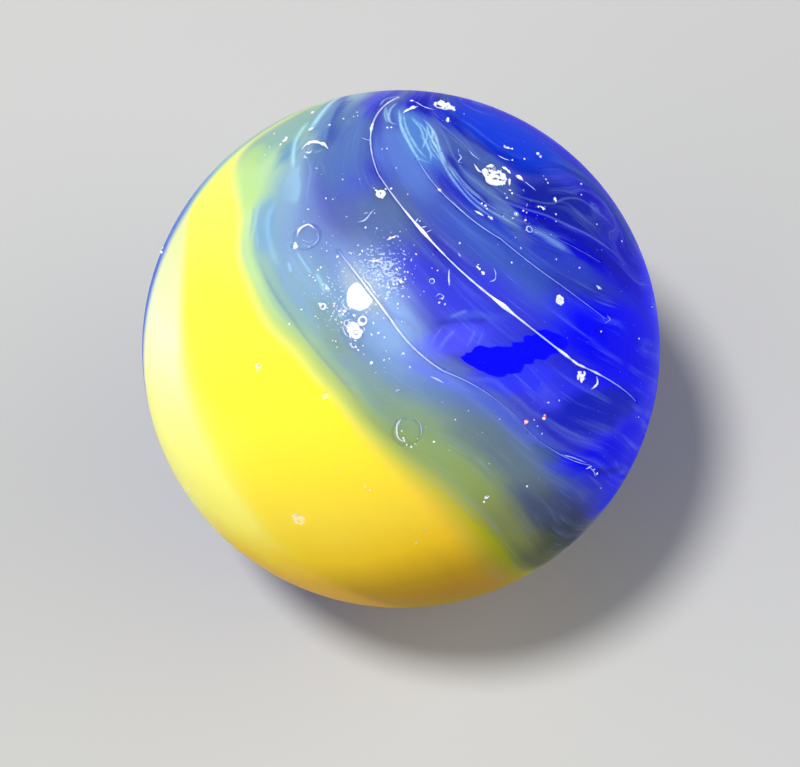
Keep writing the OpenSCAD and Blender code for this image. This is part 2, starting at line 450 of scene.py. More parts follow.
# How much of a fold's colour is left at its tips, and the share of its length over which it fades.
TIP_STRENGTH = 0.1
TIP_LENGTH = 0.15

# The middle of every ring crack and its radius in mm.
RINGS = [((lean, clock), MOON_D * share / 2) for lean, clock, share in MOONS]
# Every bruise and pit: its place, its width and depth in mm, and how sharply its crushed floor begins.
DISHES = [((lean, clock), BRUISE_W * share, BRUISE_DEPTH * share, 3.5) for lean, clock, share in BRUISES]
DISHES += [((lean, clock), PIT_W * share, PIT_DEPTH * share, 2.5) for lean, clock, share in PITS]


def tree_of(lines):
    """A search tree over lines of directions."""
    points = [d for line in lines for d in line]
    tree = KDTree(len(points))
    for index, point in enumerate(points):
        tree.insert(point * BALL_R, index)
    tree.balance()
    return tree


def distances_to(directions, place):
    """Distance along the skin, in mm, from each direction to a place."""
    cosine = np.clip(directions @ np.array(direction(*place)), -1, 1)
    return np.arccos(cosine) * BALL_R


def distances_to_lines(directions, tree):
    """Distance, in mm, from each direction to the nearest line."""
    return np.array([tree.find(Vector(d) * BALL_R)[2] for d in directions])


def distances_to_marks(directions, creases):
    """Distance, in mm, from each direction to the edge of the nearest mark."""
    nearest = distances_to_lines(directions, creases)
    for place, radius in RINGS:
        nearest = np.minimum(nearest, np.abs(distances_to(directions, place) - radius))
    for place, width, _, _ in DISHES:
        nearest = np.minimum(nearest, np.maximum(distances_to(directions, place) - width / 2, 0))
    return nearest


def dish(distance, width, depth):
    """Depth of a shallow dish at each distance from its middle."""
    return depth * np.clip(1 - (2 * distance / width) ** 2, 0, 1)


def groove(distance, width):
    """Depth of a round-bottomed groove at each distance from its line, with eased lips."""
    share = np.clip(distance / (LIP_REACH * width), 0, 1)
    return width / 2 * (0.5 + 0.5 * np.cos(math.pi * share))


def depth_at(directions, creases):
    """How deep the skin lies under the true ball at each direction, in mm."""
    depths = [groove(distances_to_lines(directions, creases), CREASE_W)]
    for places in CREASES:
        depths += [dish(distances_to(directions, place), KNOT_W, KNOT_W / 2) for place in places[::2]]
    for place, radius in RINGS:
        depths.append(groove(np.abs(distances_to(directions, place) - radius), MOON_W))
    for place, width, depth, _ in DISHES:
        depths.append(dish(distances_to(directions, place), width, depth))
    return np.max(depths, axis=0)


def dust_and_glint_density_at(directions):
    """How much fine dust lies at each direction, as grains per mm2; round the highlight this also places
    painted glints of fine scratches.
    """
    heaps = [grains * np.exp(-(distances_to(directions, place) / spread) ** 2)
             for place, spread, grains in HEAPS_OF_DUST_AND_GLINTS]
    return np.sum(heaps, axis=0)


def crushed_at(directions):
    """How crushed the skin is at each direction: 1 well inside a bruise or a pit, 0 at its edge."""
    crushed = [sharpness * (1 - 2 * distances_to(directions, place) / width)
               for place, width, _, sharpness in DISHES]
    return np.clip(np.max(crushed, axis=0), 0, 1)


def fold_at(directions, folds):
    """How strong the colour of the folds shows at each direction."""
    shade = np.zeros(len(directions))
    for places, left, right, strength in folds:
        line = np.array(smooth_line(places, FOLD_STEP))
        leftward = np.cross(line, np.gradient(line, axis=0))
        reach = (len(line) * FOLD_STEP + 3 * max(left, right)) / BALL_R
        near = np.nonzero(np.linalg.norm(directions - line[len(line) // 2], axis=1) < reach)[0]
        gap = directions[near, None] - line
        nearest = np.linalg.norm(gap, axis=2).argmin(axis=1)
        gap = gap[np.arange(len(near)), nearest] * BALL_R
        fade = np.where(np.sum(gap * leftward[nearest], axis=1) > 0, left, right)
        ends = np.minimum(nearest, len(line) - 1 - nearest) / len(line)
        tips = np.clip(TIP_STRENGTH + (1 - TIP_STRENGTH) * ends / TIP_LENGTH, 0, 1)
        value = strength * tips * np.exp(-np.sum(gap ** 2, axis=1) / fade ** 2)
        shade[near] = np.maximum(shade[near], value)
    return shade


def split_edges(mesh, creases, wisps):
    """Splits the edges of a ball of radius 1, more finely the nearer they lie to a mark or a wisp."""
    for near_mark, near_wisp in SPLIT_WITHIN:
        edges = list(mesh.edges)
        middles = np.array([((e.verts[0].co + e.verts[1].co) / 2).normalized() for e in edges])
        near = distances_to_marks(middles, creases) < near_mark
        near |= distances_to_lines(middles, wisps) < near_wisp
        chosen = [edge for edge, is_near in zip(edges, near) if is_near]
        bmesh.ops.subdivide_edges(mesh, edges=chosen, cuts=1, use_grid_fill=True)
        for vert in mesh.verts:
            vert.co.normalize()
    bmesh.ops.triangulate(mesh, faces=mesh.faces)


def make_ball():
    """The ball, with finer faces near its marks, the marks sunk in, and the flow stored on it."""
    creases = tree_of([crease_line(places) for places in CREASES])
    wisps = tree_of([smooth_line(fold[0], WISP_STEP) for folds in FOLDS.values() for fold in folds])
    mesh = bmesh.new()
    bmesh.ops.create_icosphere(mesh, subdivisions=START_LEVEL, radius=1)
    split_edges(mesh, creases, wisps)
    directions = np.array([v.co for v in mesh.verts])
    for vert, sunk in zip(mesh.verts, depth_at(directions, creases)):
        vert.co *= (BALL_R - sunk) * MM
    ball = object_of("marble_glass", mesh)
    ball.data.shade_smooth()
    set_attribute(ball, "drift", drift_at(directions))
    set_attribute(ball, "run", distances_to(directions, SWIRL_POLE))
    set_attribute(ball, "crushed", crushed_at(directions))
    set_attribute(ball, "dusty", dust_and_glint_density_at(directions))
    for name, folds in FOLDS.items():
        set_attribute(ball, name, fold_at(directions, folds))
    return ball


# ---- the glass

# The blue glass by drift, near the swirl's pole and far from it: mm across the flow, and the colour. Far
# from the pole, low on the ball, the green by the seam is darker and greyer, partly painted shade.
NEAR_BANDS = [
    (-10, "#2440c4"), (-7, "#2a50c0"), (-5, "#3c6cb8"), (-2, "#74aaa8"), (-0.4, "#9bd2ac"),
    (0.3, "#c4d77d"), (0.8, "#b4d290"), (1.05, "#accb97"), (1.5, "#91b1a4"), (2.2, "#7fa0b2"),
    (2.9, "#7998bd"), (3.6, "#5255ae"), (4.6, "#3d43ca"), (5.6, "#2a2fa9"), (6.6, "#4c5ca8"),
    (7.4, "#2d39a3"), (8.3, "#0000be"), (8.9, "#0000a4"), (9.6, "#0000a7"), (10.6, "#0000a8"),
    (11.6, "#002c87"), (13, "#0000c5"),
]
FAR_BANDS = [
    (-10, "#2440c4"), (-7, "#2a50c0"), (-5, "#3468ae"), (-2, "#5c9484"), (-0.2, "#86a600"),
    (0.4, "#5a605a"), (1.2, "#2e4188"), (2.0, "#69717d"), (2.8, "#2546bb"), (3.6, "#0000ca"),
    (4.6, "#0000ff"), (6, "#0000ff"), (8, "#0000ff"), (13, "#0000ff"),
]
# How many mm from the swirl's pole the near colours end and the far ones are full.
NEAR = 7.0
FAR = 16.0

# The yellow glass and its pale far side by how many mm they lie towards this place, amber end first. The
# darker amber end, away from this place, is partly deeper glass and partly painted shade.
PALE_END = (65, 112)
YELLOW_BANDS = [
    (-9, "#b87414"), (-5.5, "#b87c12"), (-4, "#c99c08"), (-2.5, "#f8ca1e"), (-1, "#ffd63c"),
    (1, "#fde03a"), (3, "#fbe43c"), (5.5, "#fef248"), (7.5, "#f4fb60"),
]
CREAM_BANDS = [
    (-6, "#d49a28"), (-4, "#e8a838"), (-2.5, "#ffc632"), (-1, "#ffeb72"), (1, "#fff379"),
    (2.5, "#ffff8a"), (4.5, "#e0f4b6"), (6.5, "#d5db91"),
]
# The pale side starts at one drift and is full at the other.
CREAM_FROM = -3.4
CREAM_FULL = -4.05

# Clouds of colour in the blue: place, length, width, turn from straight away from the swirl's pole,
# colour, strength, and how soft its edge is as a share of its size.
CLOUDS = [
    # The dark folds at the top, and the blue between them.
    ((51, 107), 4.4, 1.6, 32, "#4f709e", 0.75, 0.90),
    ((28, 100), 2.5, 2.0, 47, "#5d7687", 0.70, 1.40),
    ((43, 89), 3.1, 1.3, 23, "#5373c0", 0.75, 0.80),
    ((51, 102), 3.5, 0.7, 35, "#516da5", 0.55, 0.90),
    ((70, 106), 4.0, 0.9, 84, "#0000bb", 0.75, 0.80),
    # The pale swirl and its arm.
    ((52, 86), 3.2, 1.1, 12, "#5080c0", 0.75, 0.90),
    ((50, 79), 2.6, 0.5, -10, "#5c73a6", 0.70, 0.80),
    # The far side of the swirl.
    ((62, 64), 3.9, 3.1, 5, "#002ec8", 0.95, 1.00),
    ((47, 67), 3.4, 1.3, 5, "#415895", 0.85, 0.70),
    ((53, 41), 3.3, 1.5, 45, "#0d1f84", 0.75, 0.80),
    ((50, 27), 5.5, 0.9, 43, "#0000c1", 0.85, 0.80),
    ((40, 28), 4.6, 1.2, 40, "#2a41af", 0.70, 0.80),
    ((38, 60), 3.1, 0.6, 25, "#5975a2", 0.70, 0.80),
    ((42, 35), 1.4, 0.3, 46, "#435ec0", 0.80, 0.70),
    # The clear blue between the threads and at the right.
    ((29, 43), 4.8, 1.4, 39, "#2d52b5", 0.60, 0.90),
    ((49, 11), 3.9, 1.1, 56, "#000092", 0.50, 1.30),
    ((82, 6), 4.7, 3.8, -16, "#0000ff", 0.95, 0.90),
    ((57, 1), 7.4, 2.3, 61, "#0000e7", 1.00, 0.70),
    ((57, -9), 4.1, 0.7, 61, "#0000f6", 0.80, 0.80),
    # The haze round the highlight, partly milky glass and partly painted sheen of the key lamp on the
    # scuffed skin, and the violet beside it.
    ((10, 114), 3.5, 1.5, 33, "#92b3df", 0.85, 1.50),
    ((21, 148), 2.5, 1.2, 48, "#84a5b9", 0.80, 1.20),
    ((15, 123), 1.6, 0.9, 32, "#b1bbb8", 0.60, 1.00),
    ((42, 137), 2.0, 0.7, 44, "#6592c2", 0.60, 0.80),
    ((15, 162), 1.7, 0.7, 37, "#819a8f", 0.60, 0.90),
    ((21, 28), 2.8, 1.4, 52, "#353dd3", 0.85, 1.20),
    ((10, 9), 1.9, 0.8, -74, "#5254f8", 0.70, 1.60),
    ((16, 23), 1.6, 0.3, -87, "#5475cb", 0.30, 1.30),
    # The folds below the pocket.
    ((25, -14), 2.7, 0.7, 85, "#2c35e7", 0.85, 0.80),
    ((28, -34), 3.7, 0.8, 53, "#4b60cf", 0.75, 1.20),
    ((10, -38), 1.8, 0.4, 62, "#697ee1", 0.80, 1.00),
    ((48, -18), 4.0, 1.3, 82, "#0819b0", 0.85, 0.70),
    ((63, -24), 6.1, 1.2, 83, "#0000fd", 1.00, 0.60),
    ((66, -28), 3.8, 2.0, 82, "#0000ff", 1.00, 0.80),
    ((68, -37), 4.5, 1.3, 64, "#0000ff", 0.80, 0.90),
    ((65, -30), 1.8, 0.4, 74, "#0000ff", 0.60, 0.80),
    ((40, -36), 1.3, 0.3, 54, "#224972", 0.50, 0.70),
    # The blue-green band by the seam.
    ((26, -67), 4.5, 1.6, 44, "#94ac68", 0.75, 1.30),
    ((31, -44), 4.0, 1.1, 49, "#667a87", 0.80, 1.30),
    ((59, -55), 6.8, 1.1, 43, "#9ca641", 0.70, 1.30),
    ((56, -45), 3.7, 1.8, 64, "#3e4c70", 0.85, 1.40),
    # Painted shade: a near-black cloud where the low right rim lies in shade.
    ((69, -50), 2.6, 3.4, -36, "#060f22", 0.75, 1.40),
    # The green end of the yellow patch.
    ((56, 120), 1.2, 0.6, 43, "#3273b6", 0.70, 1.20),
    ((70, 118), 3.4, 3.7, 44, "#729a9c", 0.85, 1.10),
    ((55, 131), 1.5, 2.0, -34, "#a7cb9e", 0.80, 1.30),
    ((63, 127), 0.7, 1.2, 2, "#87bf83", 0.60, 1.30),
]
# The clear pocket, in the same terms. It lies over the streaks.
POCKET = [
    ((19, -7), 1.9, 0.7, 82, "#0000ff", 1.00, 0.12),
    ((28, 1), 2.4, 0.8, -86, "#0000ff", 1.00, 0.20),
]
# Painted shade and light on the yellow glass, in the same terms: an olive and an amber painted shade low on
# the patch, and a painted glow on its lit left side.
PATCH_PAINTED_SHADE_AND_GLOW = [
    ((82, -80), 4.6, 3.7, -75, "#a08c08", 0.60, 1.20),
    ((80, -111), 4.6, 2.8, 57, "#e8981c", 0.50, 1.20),
    ((65, -128), 5.4, 2.7, 29, "#ffe21c", 0.30, 1.60),
]

# The colours of the wisps and the folds, and of crushed glass.
CYAN = "#aadcf0"
LAVENDER = "#7992ca"
NAVY = "#070e90"
LIME = "#abcf71"
CRUSHED_WHITE = "#eef2f4"

# The far edge of the yellow patch lies so many degrees from this place, and fades over so many mm to
# each side.
FAR_EDGE_FROM = (29, -31)
FAR_EDGE = 102
FAR_EDGE_SOFT = 0.3
# The seam's middle as a drift, and its softness in mm, up to and past these two distances from the
# swirl's pole.
SEAM_SOFTENS = (7.0, 11.0)
SEAM_MIDDLE = (0.10, -0.35)
SEAM_SOFTNESS = (0.45, 0.80)

# The drifts at which the smoke in the blue starts and is full.
CLEAR_OF_SEAM = (2.5, 4.5)
# How far things are moved by a noise, in mm from one side to the other: the borders of the bands and the
# seam by the broad and the fine streaks, the clouds' edges by lumps and streaks, where the far colours
# start, the yellow's levels, and the border of its pale side.
BAND_WAVER = (0.8, 0.35)
SEAM_WAVER = (0.3, 0.15)
EDGE_WANDER = (0.5, 0.7)
RUN_WAVER = 2.0
LEVEL_WAVER = 1.0
PALE_WAVER = 0.2

# Veils of colour: the values of a noise at which each starts and is full, its strength, and its colour.
PALE_SMOKE = (0.5, 0.8, 0.14, "#9cb4f4")
DARK_SMOKE = (0.5, 0.25, 0.25, "#1c2490")
FINE_VEIL = (0.50, 0.75, 0.17, "#86a4ea")
HAIR_VEIL = (0.60, 0.72, 0.13, "#a0b4f4")
VEIL_OF_DUST_AND_GLINTS = (0.42, 0.56, 0.6, "#d4e8ff")
# The values of the patchy noise at which the fine streaks and hairs start and are full.
STREAKS_SHOW = (0.36, 0.56)

# How wide, how long and how thick the streaks of the flow are, in mm. Real ones go down to a few
# microns, so the hairs are drawn coarser than they are.
BROAD_STREAK = (1.25, 6.7, 1.25)
SMOKE_STREAK = (0.9, 3.3, 0.9)
EDGE_STREAK = (0.45, 3.3, 0.45)
FINE_STREAK = (0.28, 2.9, 0.28)
HAIR_STREAK = (0.077, 2.0, 0.077)
# Sizes of lumps, in mm: the patches where streaks show, the wander of the clouds' edges, the lace of
# crushed glass, and flecks of dust and of painted glints, which are really finer than this.
STREAKY_PATCH = (2.9, 2.9, 2.9)
EDGE_LUMP = (1.7, 1.7, 1.7)
LACE = (0.14, 0.14, 0.14)
DUST_FLECK = (0.083, 0.083, 0.083)
# How much of its strength each finer layer of a noise keeps.
FINER_SHARE = 0.55
# How far one grain of dust per mm2 raises the noise of the flecks, and how strong that noise is.
FLECKS_PER_GRAIN = 0.0105
FLECK_CONTRAST = 2.0
# The same for the lace of crushed glass, where it shows, and where its outer edge starts and is full.
LACE_BIAS = 0.6
LACE_CONTRAST = 2.6
LACE_SHOWS = (0.40, 0.55)
CRUSHED_EDGE = (0.02, 0.15)
# How much of the yellow shows through crushed glass.
YELLOW_THROUGH = 0.55
# The body's roughness and the gloss's weight, where the skin is sound and where it is crushed.
BODY_ROUGHNESS = (0.33, 0.8)
GLOSS_WEIGHT = (0.10, 0.0)

# A change that starts and ends gently.
EASED = {"interpolation_type": "SMOOTHSTEP"}


def layered(tree, colour, *layers):
    """Lays colours over a colour. A layer is how much of it shows, and its own colour."""
    for share, shade in layers:
        colour = add(tree, "ShaderNodeMix", {
            "Factor": share, "A": colour, "B": shade,
        }, data_type="RGBA")
    return colour


def cloud_mask(tree, position, cloud):
    """How much of a cloud lies at each position, from 0 to its strength."""
    place, length, width, turn, _, strength, softness = cloud
    out = direction(*place)
    pole = direction(*SWIRL_POLE)
    away = (out * out.dot(pole) - pole).normalized()
    turn = math.radians(turn)
    long_axis = away * math.cos(turn) + out.cross(away) * math.sin(turn)
    axes = Matrix((long_axis, out.cross(long_axis), out)).transposed()
    inside = add(tree, "ShaderNodeMapping", {
        "Vector": position,
        "Location": out * BALL_R,
        "Rotation": axes.to_euler(),
        "Scale": (length / 2, width / 2, length / 2),
    }, vector_type="TEXTURE")
    reach = add(tree, "ShaderNodeVectorMath", [inside], operation="LENGTH")
    edge = [1 + softness / 2, 1 - softness / 2]
    return add(tree, "ShaderNodeMapRange", [reach, *edge, 0.0, strength], **EASED)


def clouded(tree, colour, position, clouds):
    """Lays clouds of colour over a colour."""
    for cloud in clouds:
        *_, shade, _, _ = cloud
        colour = layered(tree, colour, (cloud_mask(tree, position, cloud), shade))
    return colour


def veiled(tree, colour, where, *veils):
    """Lays veils of colour over a colour, only where the mask lets them.

    Each veil comes with the noise that it follows.
    """
    for noise, (start, full, strength, shade) in veils:
        veil = add(tree, "ShaderNodeMapRange", [noise, start, full, 0.0, strength], **EASED)
        veil = add(tree, "ShaderNodeMath", [veil, where], operation="MULTIPLY")
        colour = layered(tree, colour, (veil, shade))
    return colour


def banded(tree, value, bands):
    """The colour at a value, from bands of places on a scale and the colours there."""
    low, high = bands[0][0], bands[-1][0]
    share = add(tree, "ShaderNodeMapRange", [value, low, high])
    colours = add(tree, "ShaderNodeValToRGB", [share])
    stops = colours.node.color_ramp.elements
    for place, colour in bands[1:-1]:
        stops.new((place - low) / (high - low)).color = linear(colour)
    stops[0].color = linear(bands[0][1])
    stops[-1].color = linear(bands[-1][1])
    return colours


def uneven(tree, where, sizes, detail=2.0, out=None):
    """A noise whose lumps have a size along each axis, in the units of the space it is laid in."""
    at = add(tree, "ShaderNodeVectorMath", [where, [1 / size for size in sizes]], operation="MULTIPLY")
    return add(tree, "ShaderNodeTexNoise", {
        "Vector": at, "Scale": 1.0, "Detail": detail, "Roughness": FINER_SHARE,
    }, out)


def shifted(tree, value, noise, amount):
    """A value moved by up to half the amount either way."""
    centred = add(tree, "ShaderNodeMath", [noise, 0.5], operation="SUBTRACT")
    return add(tree, "ShaderNodeMath", [centred, amount, value], operation="MULTIPLY_ADD")


def nudged(tree, position, noise, amount):
    """A position moved by up to half the amount along each axis, by the colour of a noise."""
    centred = add(tree, "ShaderNodeVectorMath", [noise, (0.5, 0.5, 0.5)], operation="SUBTRACT")
    return add(tree, "ShaderNodeVectorMath", [
        centred, (amount, amount, amount), position,
    ], operation="MULTIPLY_ADD")


def wavered(tree, at, amounts):
    """The drift, moved by up to half the amounts either way by the broad and by the fine streaks."""
    return shifted(tree, shifted(tree, at.drift, at.broad, amounts[0]), at.fine, amounts[1])


def read_flow(tree):
    """What the glass draws on at each point: its place in mm, its own numbers, and the flow's streaks."""
    at = SimpleNamespace()
    where = add(tree, "ShaderNodeTexCoord", out="Object")
    at.position = add(tree, "ShaderNodeVectorMath", {0: where, 3: 1 / MM}, operation="SCALE")
    for name in ("drift", "run", "crushed", "dusty", *FOLDS):
        setattr(at, name, add(tree, "ShaderNodeAttribute", out="Fac", attribute_name=name))
    flow = add(tree, "ShaderNodeCombineXYZ", [at.drift, at.run, 1.0])
    at.broad = uneven(tree, flow, BROAD_STREAK)
    at.fine = uneven(tree, flow, FINE_STREAK, 3.0)
    at.hair = uneven(tree, flow, HAIR_STREAK)
    at.patchy = uneven(tree, at.position, STREAKY_PATCH)

    # The borders of the bands waver with the streaks.
    at.wavered = wavered(tree, at, BAND_WAVER)
    wavered_flow = add(tree, "ShaderNodeCombineXYZ", [at.wavered, at.run, 1.0])
    at.smoke = uneven(tree, wavered_flow, SMOKE_STREAK, 4.0)

    # The edges of the clouds wander, and streak along the flow.
    lumps = uneven(tree, at.position, EDGE_LUMP, 3.0, "Color")
    streaks = uneven(tree, flow, EDGE_STREAK, 2.0, "Color")
    at.wandered = nudged(tree, nudged(tree, at.position, lumps, EDGE_WANDER[0]), streaks, EDGE_WANDER[1])
    return at


def blue_glass(tree, at):
    """The blue's colour: bands across the flow, smoke, clouds, fine streaks, the pocket and the folds."""
    run = shifted(tree, at.run, at.patchy, RUN_WAVER)
    far = add(tree, "ShaderNodeMapRange", [run, NEAR, FAR], **EASED)
    near_colour, far_colour = [banded(tree, at.wavered, bands) for bands in (NEAR_BANDS, FAR_BANDS)]
    clear_of_seam = add(tree, "ShaderNodeMapRange", [at.drift, *CLEAR_OF_SEAM], **EASED)
    colour = layered(tree, near_colour, (far, far_colour))
    colour = veiled(tree, colour, clear_of_seam, (at.smoke, PALE_SMOKE), (at.smoke, DARK_SMOKE))
    colour = clouded(tree, colour, at.wandered, CLOUDS)
    in_patches = add(tree, "ShaderNodeMapRange", [at.patchy, *STREAKS_SHOW], **EASED)
    colour = veiled(tree, colour, in_patches, (at.fine, FINE_VEIL), (at.hair, HAIR_VEIL))
    colour = clouded(tree, colour, at.wandered, POCKET)
    return layered(tree, colour, (at.navy, NAVY), (at.pale, LAVENDER), (at.cyan, CYAN))


def yellow_glass(tree, at):
    """The yellow's colour: amber below, partly painted shade, lemon above, a pale cream far side, and
    painted shade and glow laid over it.
    """
    height = add(tree, "ShaderNodeVectorMath", [at.position, direction(*PALE_END)], operation="DOT_PRODUCT")
    level = shifted(tree, height, at.broad, LEVEL_WAVER)
    drift = shifted(tree, at.drift, at.fine, PALE_WAVER)
    pale = add(tree, "ShaderNodeMapRange", [drift, CREAM_FROM, CREAM_FULL], **EASED)
    yellow, cream = [banded(tree, level, bands) for bands in (YELLOW_BANDS, CREAM_BANDS)]
    return clouded(tree, layered(tree, yellow, (pale, cream)), at.wandered, PATCH_PAINTED_SHADE_AND_GLOW)


def patch_mask(tree, at):
    """Where the yellow patch lies: on its side of the seam, and short of its far edge."""
    start = direction(*FAR_EDGE_FROM) * BALL_R
    reach = add(tree, "ShaderNodeVectorMath", [at.position, start], operation="DISTANCE")
    far_edge = 2 * BALL_R * math.sin(math.radians(FAR_EDGE / 2))
    fade = [far_edge + FAR_EDGE_SOFT, far_edge - FAR_EDGE_SOFT]
    within = add(tree, "ShaderNodeMapRange", [reach, *fade], **EASED)
    middle, softness = [
        add(tree, "ShaderNodeMapRange", [at.run, *SEAM_SOFTENS, *values], **EASED)
        for values in (SEAM_MIDDLE, SEAM_SOFTNESS)
    ]
    past = add(tree, "ShaderNodeMath", [wavered(tree, at, SEAM_WAVER), middle], operation="SUBTRACT")
    past = add(tree, "ShaderNodeMath", [past, softness], operation="DIVIDE")
    short_of_seam = add(tree, "ShaderNodeMapRange", [past, 1.0, -1.0], **EASED)
    return add(tree, "ShaderNodeMath", [short_of_seam, within], operation="MULTIPLY")


def crushed_mask(tree, at):
    """Where the skin is crushed to lace, inside the bruises and pits."""
    lace = add(tree, "ShaderNodeMath", [at.crushed, LACE_BIAS], operation="MULTIPLY")
    lace = shifted(tree, lace, uneven(tree, at.position, LACE, 3.0), LACE_CONTRAST)
    lace = add(tree, "ShaderNodeMapRange", [lace, *LACE_SHOWS], **EASED)
    edge = add(tree, "ShaderNodeMapRange", [at.crushed, *CRUSHED_EDGE], **EASED)
    return add(tree, "ShaderNodeMath", [lace, edge], operation="MULTIPLY")


def flecked_with_dust_and_glints(tree, colour, at, patch):
    """Lays pale flecks over a colour, thick in the heaps, but none on the yellow: dust, and round the
    highlight painted glints of fine scratches.
    """
    dusty = add(tree, "ShaderNodeMath", [at.dusty, FLECKS_PER_GRAIN], operation="MULTIPLY")
    flecks = shifted(tree, dusty, uneven(tree, at.position, DUST_FLECK, 3.0), FLECK_CONTRAST)
    off_patch = add(tree, "ShaderNodeMath", [1.0, patch], operation="SUBTRACT")
    return veiled(tree, colour, off_patch, (flecks, VEIL_OF_DUST_AND_GLINTS))


def glass_material():
    """Soda-lime glass, cobalt blue with opaque yellow, rolled hot and fire-polished.

    It gives the eye deep milky colour, lit a little from within, under a hard thin gloss that goes dull
    where play has crushed it. The gloss is a coat, so that it stays apart from the milky body.
    """
    material, tree = new_material("pressed_soda_glass_cobalt_and_yellow")
    at = read_flow(tree)
    patch = patch_mask(tree, at)
    yellow = yellow_glass(tree, at)
    colour = layered(tree, blue_glass(tree, at), (patch, yellow), (at.lime, LIME))
    colour = flecked_with_dust_and_glints(tree, colour, at, patch)

    # Crushed glass is white, and lets some of the yellow through.
    crushed = crushed_mask(tree, at)
    through = add(tree, "ShaderNodeMath", [patch, YELLOW_THROUGH], operation="MULTIPLY")
    colour = layered(tree, colour, (crushed, layered(tree, CRUSHED_WHITE, (through, yellow))))
    roughness, coat = [
        add(tree, "ShaderNodeMapRange", [crushed, 0.0, 1.0, sound, broken], **EASED)
        for sound, broken in (BODY_ROUGHNESS, GLOSS_WEIGHT)
    ]
    finish_material(tree, {
        "Base Color": colour,
        "Roughness": roughness,
        "IOR": 1.03,
        "Subsurface Weight": 1.0,
        "Subsurface Radius": (1.0, 1.0, 1.0),
        "Subsurface Scale": 2.0 * MM,
        "Coat Weight": coat,
        "Coat Roughness": 0.03,
        "Coat IOR": 2.0,
    })
    return material


def mottled(tree, grain, dark, light, spread=0.15):
    """A colour that goes from dark to light from grain to grain, each so many mm across."""
    noise = uneven(tree, add(tree, "ShaderNodeTexCoord", out="Object"), [grain * MM] * 3)
    share = add(tree, "ShaderNodeMapRange", [noise, 0.5 - spread, 0.5 + spread], **EASED)
    return layered(tree, dark, (share, light))


def crushed_glass_material():
    """Soda-lime glass crushed to a crust, which packs into the creases and the bruises.

    Its many broken faces scatter the light, so it looks white, and blue shows through where it is thin.
    """
    material, tree = new_material("crushed_soda_glass_white")
    thin = add(tree, "ShaderNodeAttribute", out="Fac", attribute_name="thinness")
    colour = layered(tree, mottled(tree, 0.17, "#dfe4f2", "#fffdf4"), (thin, "#9cb0f2"))
    finish_material(tree, {"Base Color": colour, "Roughness": 0.35})
    return material


def dust_material():
    """Pocket lint and grit, as it falls: matt and pale, some grains bluish and some creamy."""
    material, tree = new_material("pocket_dust_pale_grey")
    colour = mottled(tree, 0.67, "#b8c4ea", "#fbf6ec")
    finish_material(tree, {"Base Color": colour, "Roughness": 0.6})
    return material


def warm_grit_material():
    """Small orange-red grains of unknown kind: matt orange-red, with pale faces that catch the eye."""
    material, tree = new_material("red_brick_grit")
    colour = mottled(tree, 0.083, "#f0582c", "#ffe8dc", spread=0.1)
    finish_material(tree, {"Base Color": colour, "Roughness": 0.6})
    return material


# ---- threads and grit

# A thread: mm from one ring of its points to the next, points in a ring, knots in a metre, and the least
# share of its thickness that it keeps.
THREAD_STEP = 0.04
THREAD_SIDES = 6
KNOTS_PER_METRE = 3500.0
THINNEST = 0.05
# The values between which nearly all of a noise lies.
NOISE_RANGE = (0.3, 0.7)
# A crust of this many mm lets half of the blue through.
THIN_CRUST = 0.05
# Corners in the rim of a bubble or a bruise, and rings of faces on a bruise's floor.
RIM_SIDES = 16
FLOOR_RINGS = 5
# The width of a stroke: share of the way along, and share of its full width.
STROKE_WIDTHS = [(0, 0.3), (0.25, 1), (0.75, 1), (1, 0.3)]
# The smallest and the largest a shard may be along each axis, as shares of its grain's size.
SMALL_SHARD = (0.5, 0.45, 0.3)
LARGE_SHARD = (1.0, 0.8, 0.7)
# Crumbs in the bruises, and dust outside its heaps, as grains per mm2, and the largest grains in mm.
CRUMBS = 40
CRUMB_SIZE = 0.08
STRAY_DUST = 0.013
DUST_SIZE = 0.11

